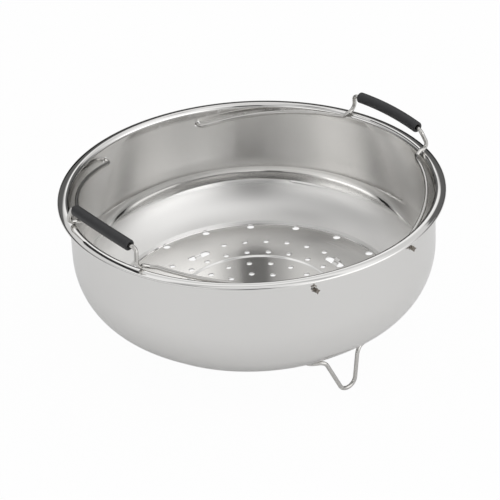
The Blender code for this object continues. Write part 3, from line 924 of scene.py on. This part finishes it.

# %% [markdown]
# The bowl has four finishes. The rim, the step and the pressed disc are mirror polished, and
# the ring of floor round the disc is hazier the further out it lies. The straight wall is
# brushed round the axis with fine lines, so it smears what it mirrors up and down but not
# sideways, and its steel colour is painted lighter than the rest, as painted light on the wall.
# The curve below it is satin, and the outside is buffed, a little duller than a mirror. One
# shader whose roughness changes couldn't be brushed in one place and not in another, so each
# finish is a shader of its own, mixed in by height or by the mark for the inner faces. Real
# polish isn't perfect either: the wheel leaves faint rings, which a weak bump shows.

# %% Bowl steel
STEEL_COLOUR = (0.80, 0.793, 0.78, 1.0)
EDGE_TINT = (0.62, 0.61, 0.60, 1.0)
POLISHED_ROUGHNESS = 0.03
RING_HAZE = 0.10
OUTER_RING_HAZE = 0.12
OUTER_RING_FROM = DISC_RADIUS + 3.0 * MM
OUTER_RING_TO = DISC_RADIUS + 20.0 * MM
OUTSIDE_ROUGHNESS = 0.11
# The brushed wall's steel colour is painted lighter than the bowl's steel: painted light.
BRUSHED_PAINTED_LIGHT_COLOUR = (0.90, 0.893, 0.88, 1.0)
BRUSHED_ROUGHNESS = 0.23
BRUSHED_SMEAR = 0.88
BRUSHED_FROM = rim_top - 45.0 * MM
BRUSHED_TO = rim_top - 6.0 * MM
SATIN_ROUGHNESS = 0.36
SATIN_TO = rim_top - 56.0 * MM
SATIN_START = 1.0 * MM
FINISH_BLEND = 1.5 * MM
QUARTER_TURN = 0.25
RINGS_SCALE = 1400.0
RINGS_SHARE = 0.02
CLOUD_SCALE = 28.0
CLOUD_SHARE = 0.015
POLISH_BUMP = 0.05
POLISH_DEPTH = 0.02 * MM


def metal_shader(graph, colour, roughness, smear):
    """An even metal shader; with smear it is brushed round the upright axis."""
    made = graph.tree.nodes.new('ShaderNodeBsdfPrincipled')
    made.inputs["Metallic"].default_value = 1.0
    made.inputs["Base Color"].default_value = colour
    made.inputs["Roughness"].default_value = roughness
    made.inputs["Anisotropic"].default_value = smear
    made.inputs["Anisotropic Rotation"].default_value = QUARTER_TURN
    return made


def bowl_finish(name):
    made, graph, polished = new_finish(name)
    polished.inputs["Metallic"].default_value = 1.0
    polished.inputs["Base Color"].default_value = STEEL_COLOUR
    polished.inputs["Specular Tint"].default_value = EDGE_TINT
    brushed_and_lightened = metal_shader(graph, BRUSHED_PAINTED_LIGHT_COLOUR, BRUSHED_ROUGHNESS, BRUSHED_SMEAR)
    satin = metal_shader(graph, STEEL_COLOUR, SATIN_ROUGHNESS, 0.0)
    outside = metal_shader(graph, STEEL_COLOUR, OUTSIDE_ROUGHNESS, 0.0)

    place = graph.node('ShaderNodeTexCoord', output='Object')
    x, y, height = (graph.node('ShaderNodeSeparateXYZ', output=axis, Vector=place) for axis in "XYZ")
    radius = graph.maths('SQRT', x * x + y * y)
    unrolled = graph.node('ShaderNodeCombineXYZ', X=radius, Y=height, Z=0.0)
    rings = noise(graph, unrolled, RINGS_SCALE, detail=2.0)
    cloud = noise(graph, place, CLOUD_SCALE, detail=2.0)
    floor_ring = between(graph, radius, DISC_RADIUS + MM, floor_radius - MM, MM)
    haze = floor_ring * (RING_HAZE + OUTER_RING_HAZE * fade(graph, radius, OUTER_RING_FROM, OUTER_RING_TO))
    wheel_marks = RINGS_SHARE * rings + CLOUD_SHARE * cloud
    feed(graph, polished, "Roughness", POLISHED_ROUGHNESS + wheel_marks + haze)
    feed(graph, outside, "Roughness", OUTSIDE_ROUGHNESS + wheel_marks)
    relief = bump(graph, rings, POLISH_BUMP, POLISH_DEPTH)
    for shader in (polished, brushed_and_lightened, satin, outside):
        feed(graph, shader, "Normal", relief)

    inner = graph.node('ShaderNodeAttribute', {"attribute_name": "inside"}, output='Fac')
    # This zone brushes the wall and paints its lighter colour in, as painted light.
    brushed_and_lightened_zone = between(graph, height, BRUSHED_FROM, BRUSHED_TO, FINISH_BLEND)
    above_floor = fade(graph, height, floor_top, floor_top + SATIN_START)
    curve_zone = above_floor * (1.0 - fade(graph, height, SATIN_TO - FINISH_BLEND, SATIN_TO + FINISH_BLEND))
    polished, brushed_and_lightened, satin, outside = (Signal(graph.tree, shader.outputs[0])
                                         for shader in (polished, brushed_and_lightened, satin, outside))
    surface = mix_shaders(graph, brushed_and_lightened_zone, polished, brushed_and_lightened)
    surface = mix_shaders(graph, curve_zone, surface, satin)
    finish_with(graph, mix_shaders(graph, inner, outside, surface))
    return made


bowl_steel = bowl_finish("mirror_steel")
print("bowl steel:", len(bowl_steel.node_tree.nodes), "nodes")

# %% [markdown]
# The wires are drawn and then bright polished. Drawing leaves fine lines along a wire, too fine
# to see here, so a faint cloudiness is enough. The squeezed heads outside the wall aren't
# polished again, so they are duller, and their colour is painted dark there as painted shade.
# They could have a material of their own, but head and wire are one piece of steel, so the same
# material turns dull and painted dark beyond the wall.

# %% Wire steel
WIRE_COLOUR = (0.64, 0.63, 0.61, 1.0)
WIRE_ROUGHNESS = 0.05
WIRE_CLOUD = 0.08
WIRE_CLOUD_SCALE = 300.0
WIRE_BUMP = 0.1
WIRE_DEPTH = 0.02 * MM
# The heads' dark colour is painted shade.
CRIMP_PAINTED_SHADE = (0.26, 0.235, 0.21, 1.0)
CRIMP_DULLING = 0.22
CRIMP_FROM = hinge_wall - 0.1 * MM
CRIMP_TO = hinge_wall + 0.4 * MM


def wire_finish(name):
    made, graph, shader = new_finish(name)
    shader.inputs["Metallic"].default_value = 1.0
    place = graph.node('ShaderNodeTexCoord', output='Object')
    cloud = noise(graph, place, WIRE_CLOUD_SCALE, detail=3.0)
    along = graph.maths('ABSOLUTE', graph.node('ShaderNodeSeparateXYZ', output='Y', Vector=place))
    # Beyond the wall the heads turn duller and take their painted shade.
    squeezed_dull_and_shaded = fade(graph, along, CRIMP_FROM, CRIMP_TO)
    feed(graph, shader, "Base Color", mix_colours(graph, squeezed_dull_and_shaded, WIRE_COLOUR, CRIMP_PAINTED_SHADE))
    feed(graph, shader, "Roughness", WIRE_ROUGHNESS + WIRE_CLOUD * cloud + CRIMP_DULLING * squeezed_dull_and_shaded)
    feed(graph, shader, "Normal", bump(graph, cloud, WIRE_BUMP, WIRE_DEPTH))
    return made


wire_steel = wire_finish("bright_wire_steel")
print("wire steel:", len(wire_steel.node_tree.nodes), "nodes")

# %% [markdown]
# The sleeves are matt black rubber. Pure black would swallow their shape, so their colour is a
# very dark grey with faint patches where it is rubbed, and a fine grain breaks up the highlight
# along the top.

# %% Black sleeve
SLEEVE_DARK = (0.028, 0.028, 0.030, 1.0)
SLEEVE_WORN = (0.045, 0.045, 0.047, 1.0)
SLEEVE_ROUGHNESS = 0.42
SLEEVE_RUBBING = 0.2
RUBBED_SCALE = 90.0
GRAIN_SCALE = 2600.0
GRAIN_BUMP = 0.25
GRAIN_DEPTH = 0.05 * MM


def sleeve_finish(name):
    made, graph, shader = new_finish(name)
    place = graph.node('ShaderNodeTexCoord', output='Object')
    grain = noise(graph, place, GRAIN_SCALE, detail=3.0)
    rubbed = noise(graph, place, RUBBED_SCALE, detail=3.0)
    feed(graph, shader, "Base Color", mix_colours(graph, rubbed, SLEEVE_DARK, SLEEVE_WORN))
    feed(graph, shader, "Roughness", SLEEVE_ROUGHNESS + SLEEVE_RUBBING * rubbed)
    feed(graph, shader, "Normal", bump(graph, grain, GRAIN_BUMP, GRAIN_DEPTH))
    return made


sleeve_black = sleeve_finish("black_sleeve")
print("sleeve:", len(sleeve_black.node_tree.nodes), "nodes")

# %% [markdown]
# Every piece now takes the place of its packed solid. It rides on the body that carries it, so
# it moves with that body in every pose.

# %% Dress the pieces


def dress(piece, finish, body, node):
    piece.data.materials.clear()
    piece.data.materials.append(finish)
    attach(piece, body)
    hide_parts(node)


dress(bowl, bowl_steel, "bowl", "basket_bowl")
dress(foot_frame, wire_steel, "bowl", "foot_frame")
dress(right_wire, wire_steel, "right_handle", "right_handle_wire")
dress(left_wire, wire_steel, "left_handle", "left_handle_wire")
dress(right_sleeve, sleeve_black, "right_handle", "right_grip")
dress(left_sleeve, sleeve_black, "left_handle", "left_grip")
dressed = (bowl, foot_frame, right_wire, left_wire, right_sleeve, left_sleeve)
print("dressed:", [piece.name for piece in dressed])

# %% [markdown]
# Polished steel has no look of its own: it shows the room. So the room is the last piece of
# work. Cards and lamps could be built as objects, but from another side they would stand in
# the picture. The world is the room instead, and each wall or lamp is a soft-edged patch of the
# sky. A patch needs two measures in degrees: how far round it is from the camera, and how high.

# %% Directions in the room
DEGREES = 180 / math.pi

scene = bpy.context.scene
scene.view_settings.view_transform = 'Standard'
world = bpy.data.worlds.new("studio")
scene.world = world
world.use_nodes = True
background = world.node_tree.nodes["Background"]
sky = Signal(world.node_tree, background.outputs[0])
to_camera = Vector((eye.x, eye.y, 0.0)).normalized()
direction = sky.node('ShaderNodeTexCoord', output='Generated')
sky_x, sky_y, sky_z = (sky.node('ShaderNodeSeparateXYZ', output=axis, Vector=direction) for axis in "XYZ")
forward = sky_x * to_camera.x + sky_y * to_camera.y
sideways = sky_y * to_camera.x - sky_x * to_camera.y
bearing = sky.maths('ARCTAN2', sideways, forward) * DEGREES
away = sky.maths('ABSOLUTE', bearing)
height = sky.maths('ARCSINE', sky_z) * DEGREES
print("bearing 0 lies towards", [round(value, 3) for value in to_camera])

# %% [markdown]
# The camera's half of the room is a pale wall that grows brighter from left to right, and the
# bowl's outside follows it. Two low lamps stand left and right of the camera, and a weaker one
# hangs higher up on the left. A band is written as where it starts, where it ends and how soft
# its ends are. A step is written as where it starts and ends.

# %% Lamps and walls
WALL_LIGHT = 0.47
WALL_GAIN = 0.68
WALL_STEP = (-80, 75)
LAMP_LIGHT = 0.72
LAMP_BAND = (20, 88, 8)
LAMP_HEIGHT_BAND = (16, 30, 4)
HIGH_LAMP_LIGHT = 0.16
HIGH_LAMP_STEP = (-20, 60)
HIGH_LAMP_HEIGHT_BAND = (50, 65, 3)

room = WALL_LIGHT + WALL_GAIN * fade(sky, bearing, *WALL_STEP)
room += LAMP_LIGHT * between(sky, away, *LAMP_BAND) * between(sky, height, *LAMP_HEIGHT_BAND)
left_side = 1.0 - fade(sky, bearing, *HIGH_LAMP_STEP)
room += HIGH_LAMP_LIGHT * left_side * between(sky, height, *HIGH_LAMP_HEIGHT_BAND)
print("lamps and walls take", len(world.node_tree.nodes), "nodes")

# %% [markdown]
# The far side, behind the basket, is dark up to about the height from which the camera looks
# and pale above, and that is what gives the rim its dark edges. An even wall there would leave
# the rim as white as the table. Straight behind the basket a window makes it brighter still.

# %% Far side
FAR_DARK = 0.14
FAR_PALE = 0.62
FAR_EDGE = 27.8
FAR_EDGE_RISE = 9.0
FAR_EDGE_BAND = (140, 163, 3)
FAR_EDGE_SOFT = 1.2
FAR_TOP_LIGHT = 0.25
FAR_TOP_STEP = (48, 58)
WINDOW_LIGHT = 0.35
WINDOW_STEP = (158, 172)
WINDOW_HEIGHT_BAND = (28.5, 40, 1)
FAR_STEP = (80, 130)


def blend(share, first, second):
    return first + (second - first) * share


above_edge = height - (FAR_EDGE + FAR_EDGE_RISE * between(sky, bearing, *FAR_EDGE_BAND))
far_side = FAR_DARK + FAR_PALE * fade(sky, above_edge, -FAR_EDGE_SOFT, FAR_EDGE_SOFT)
far_side += FAR_TOP_LIGHT * fade(sky, height, *FAR_TOP_STEP)
far_side += WINDOW_LIGHT * fade(sky, away, *WINDOW_STEP) * between(sky, height, *WINDOW_HEIGHT_BAND)
room = blend(fade(sky, away, *FAR_STEP), room, far_side)
print("with the far side it takes", len(world.node_tree.nodes))

# %% [markdown]
# The room dims softly towards the camera and its stand, and the camera itself is nearly black.
# It is the one truly dark thing, and the pressed disc in the floor shows it back as a dark
# patch.

# %% The camera's own reflection
NEAR_DIM = 0.45
NEAR_STEP = (8, 38)
NEAR_HEIGHT_BAND = (12, 50, 6)
STAND_DIM = 0.50
STAND_STEP = (4, 16)
STAND_HEIGHT_BAND = (38, 58, 3)
CAMERA_DIM = 0.96
CAMERA_BAND = (-9.5, 9.5, 0.8)
CAMERA_HEIGHT_BAND = (22, 38, 0.8)

near = (1.0 - fade(sky, away, *NEAR_STEP)) * between(sky, height, *NEAR_HEIGHT_BAND)
stand = (1.0 - fade(sky, away, *STAND_STEP)) * between(sky, height, *STAND_HEIGHT_BAND)
dark = between(sky, bearing, *CAMERA_BAND) * between(sky, height, *CAMERA_HEIGHT_BAND)
room = room * (1.0 - NEAR_DIM * near) * (1.0 - STAND_DIM * stand) * (1.0 - CAMERA_DIM * dark)
print("with the camera it takes", len(world.node_tree.nodes))

# %% [markdown]
# Overhead the room ends in one even ceiling, with a darker gap below it all round but over the
# camera, and it is a little darker near the ground. The room lights the basket and is mirrored
# in it, but it isn't to be seen: Light Path shows plain white to an eye that looks past the
# table, so the picture's background doesn't depend on the light.

# %% Ceiling and background
GAP_DIM = 0.45
GAP_STEP = (55, 65)
GAP_HEIGHT_BAND = (66, 73, 2)
CEILING_LIGHT = 0.76
CEILING_STEP = (70, 86)
GROUND_DIM = 0.20
GROUND_STEP = (4, 14)
BACKGROUND_LIGHT = 0.97

room = room - GAP_DIM * fade(sky, away, *GAP_STEP) * between(sky, height, *GAP_HEIGHT_BAND)
room = blend(fade(sky, height, *CEILING_STEP), room, CEILING_LIGHT)
room = room - GROUND_DIM * (1.0 - fade(sky, height, *GROUND_STEP))
room = blend(sky.node('ShaderNodeLightPath', output='Is Camera Ray'), room, BACKGROUND_LIGHT)
world.node_tree.links.new(room.socket, background.inputs["Color"])
background.inputs["Strength"].default_value = 1.0
print("the room is made of", len(world.node_tree.nodes), "nodes")

# %% [markdown]
# The basket stands on a white table. A plainly lit plane would look grey in this soft light, so
# Light Path lets the table glow to the eye and a little to the steel. It then reads as white
# paper, while a part of its shading stays and keeps the shadow. To the steel it is darker far
# behind the basket than in front.

# %% White table
TABLE_SIZE = 8.0
TABLE_COLOUR = (0.94, 0.94, 0.94, 1.0)
TABLE_UNLIT = (0.0, 0.0, 0.0, 1.0)
TABLE_ROUGHNESS = 0.7
TABLE_STEP = (-0.60, -0.12)
TABLE_DIM = 0.5
TABLE_SEEN_GLOW = 0.97
TABLE_MIRRORED_GLOW = 0.12

bpy.ops.object.select_all(action='DESELECT')
bpy.ops.mesh.primitive_plane_add(size=TABLE_SIZE, location=(0, 0, 0))
table = bpy.context.object
table.name = "table"
paper, graph, shader = new_finish("white_table")
shader.inputs["Roughness"].default_value = TABLE_ROUGHNESS
seen = graph.node('ShaderNodeLightPath', output='Is Camera Ray')
mirrored = graph.node('ShaderNodeLightPath', output='Is Glossy Ray')
through = graph.node('ShaderNodeLightPath', output='Is Transmission Ray')
spot = graph.node('ShaderNodeTexCoord', output='Object')
table_x, table_y = (graph.node('ShaderNodeSeparateXYZ', output=axis, Vector=spot) for axis in "XY")
lit = fade(graph, table_x * to_camera.x + table_y * to_camera.y, *TABLE_STEP)
keep = 1.0 - TABLE_DIM * mirrored * (1.0 - lit)
feed(graph, shader, "Base Color", mix_colours(graph, keep, TABLE_UNLIT, TABLE_COLOUR))
glow = TABLE_SEEN_GLOW * seen + TABLE_MIRRORED_GLOW * mirrored * lit + TABLE_SEEN_GLOW * through
white = graph.node('ShaderNodeEmission', Color=(1.0, 1.0, 1.0, 1.0), Strength=1.0)
finish_with(graph, mix_shaders(graph, glow, graph, white))
table.data.materials.append(paper)
print("table:", TABLE_SIZE, "m across")

# %% [markdown]
# The visual model must stay in the box of the packed model.
